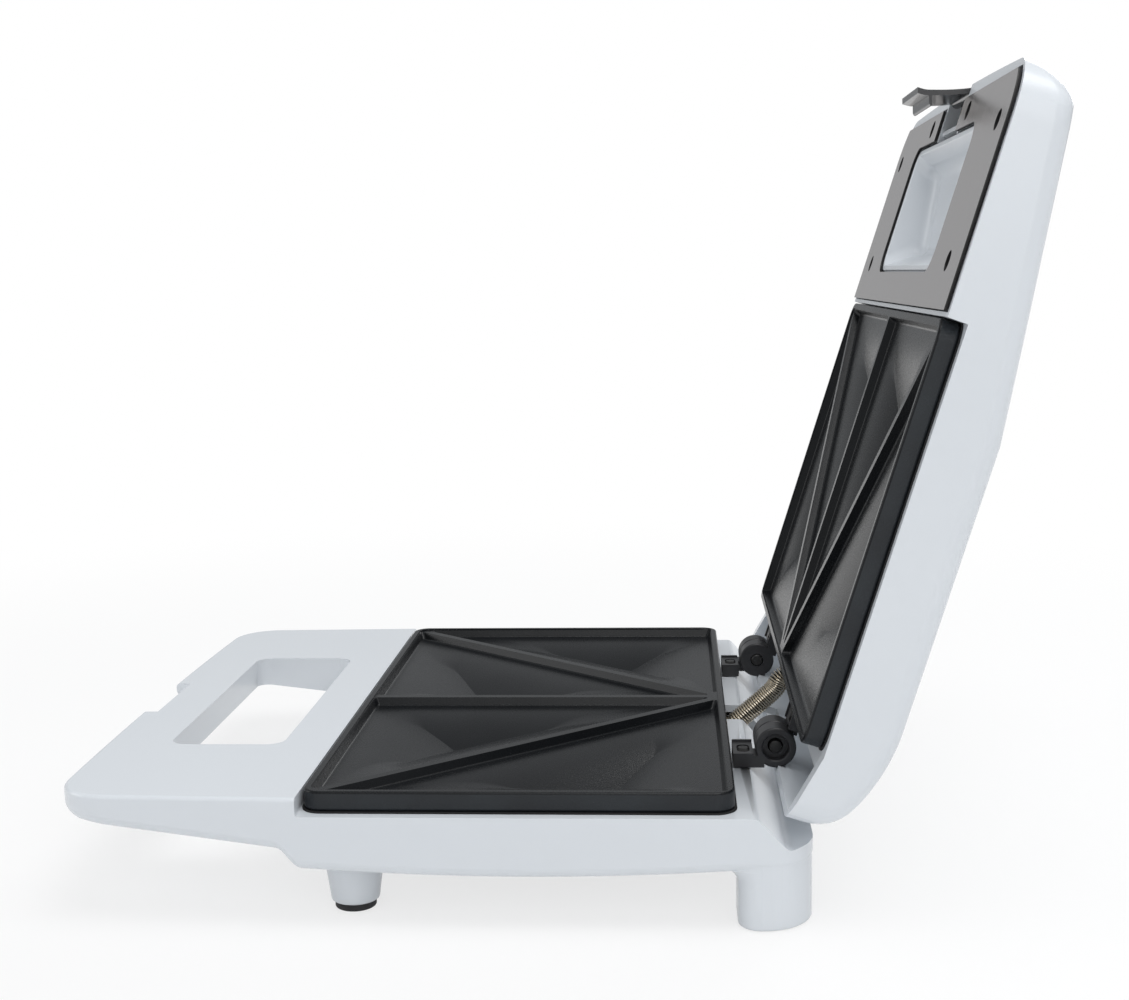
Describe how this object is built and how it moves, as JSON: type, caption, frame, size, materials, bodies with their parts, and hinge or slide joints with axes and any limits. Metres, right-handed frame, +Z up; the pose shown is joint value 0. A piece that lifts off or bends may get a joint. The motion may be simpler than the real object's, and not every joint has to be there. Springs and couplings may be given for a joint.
{
  "type": "sandwich maker",
  "caption": "Electric sandwich toaster, open: flat base with a grip handle, hinged lid with triangular-pocket cooking plates, steel handle plate and a swinging latch.",
  "frame": {"origin": "bottom centre of the bounding box of the opened object, on the surface that it stands on", "axes": "+Z up, -Y towards the user's end with the handle, +Y towards the hinges, X along the hinge axis"},
  "size_m": [0.2276, 0.293, 0.2454],
  "materials": {
    "white_plastic": "satin gloss",
    "nonstick_coating": "satin non-stick coating",
    "black_plastic": "matte",
    "smoked_plastic": "gloss",
    "brushed_steel": "brushed",
    "bright_steel": "bright",
    "aluminised_sheet": "dull",
    "black_rubber": "matte",
    "white_ceramic": "matte",
    "glass_sleeve": "woven sleeve",
    "red_lens": "gloss",
    "green_lens": "gloss",
    "lamp_glass": "clear"
  },
  "bodies": {
    "base": {"base_housing": "white_plastic", "base_bottom_cover": "white_plastic", "handle_cover": "white_plastic", "front_foot_pad_left": "black_rubber", "front_foot_pad_right": "black_rubber", "base_hinge_bracket_left": "black_plastic", "base_hinge_bracket_right": "black_plastic", "base_hinge_screw_left": "bright_steel", "base_hinge_screw_right": "bright_steel", "hinge_pin_left": "bright_steel", "hinge_pin_right": "bright_steel", "lower_plate": "nonstick_coating", "lower_heating_element": "bright_steel", "lower_heat_shield": "aluminised_sheet", "lower_element_clip_left": "aluminised_sheet", "lower_element_clip_right": "aluminised_sheet", "lower_plate_screw_1": "bright_steel", "lower_plate_screw_2": "bright_steel", "lower_plate_screw_3": "bright_steel", "lower_plate_screw_4": "bright_steel", "thermostat": "white_ceramic", "thermal_fuse": "glass_sleeve", "terminal_block": "white_ceramic", "cord_gland": "black_plastic", "cover_screw_1": "bright_steel", "cover_screw_2": "bright_steel", "cover_screw_3": "bright_steel", "cover_screw_4": "bright_steel", "handle_screw_5": "bright_steel", "handle_screw_6": "bright_steel", "conduit_spring": "bright_steel", "lead_bundle": "glass_sleeve"},
    "lid": {"lid_shell": "white_plastic", "lid_handle_plate": "brushed_steel", "lid_grip_cup": "white_plastic", "handle_plate_screw_1": "bright_steel", "handle_plate_screw_2": "bright_steel", "handle_plate_screw_3": "bright_steel", "handle_plate_screw_4": "bright_steel", "handle_plate_screw_5": "bright_steel", "handle_plate_screw_6": "bright_steel", "lid_hinge_bracket_left": "black_plastic", "lid_hinge_bracket_right": "black_plastic", "lid_hinge_screw_left": "bright_steel", "lid_hinge_screw_right": "bright_steel", "upper_plate": "nonstick_coating", "upper_heating_element": "bright_steel", "upper_heat_shield": "aluminised_sheet", "upper_element_clip_left": "aluminised_sheet", "upper_element_clip_right": "aluminised_sheet", "upper_plate_screw_1": "bright_steel", "upper_plate_screw_2": "bright_steel", "upper_plate_screw_3": "bright_steel", "upper_plate_screw_4": "bright_steel", "power_lens": "red_lens", "ready_lens": "green_lens", "power_lamp": "lamp_glass", "ready_lamp": "lamp_glass", "latch_pin": "bright_steel"},
    "latch": {"latch": "smoked_plastic"}
  },
  "joints": [
    {"name": "lid_hinge", "type": "hinge", "parent": "base", "child": "lid", "pos_m": [0, 0.0695, 0.0402], "axis": [1, 0, 0], "range_deg": [0, 107.5], "deforming": ["conduit_spring", "lead_bundle"]},
    {"name": "latch_pivot", "type": "hinge", "parent": "lid", "child": "latch", "pos_m": [0, 0.13628, 0.24269], "axis": [-1, 0, 0], "range_deg": [0, 95]}
  ]
}
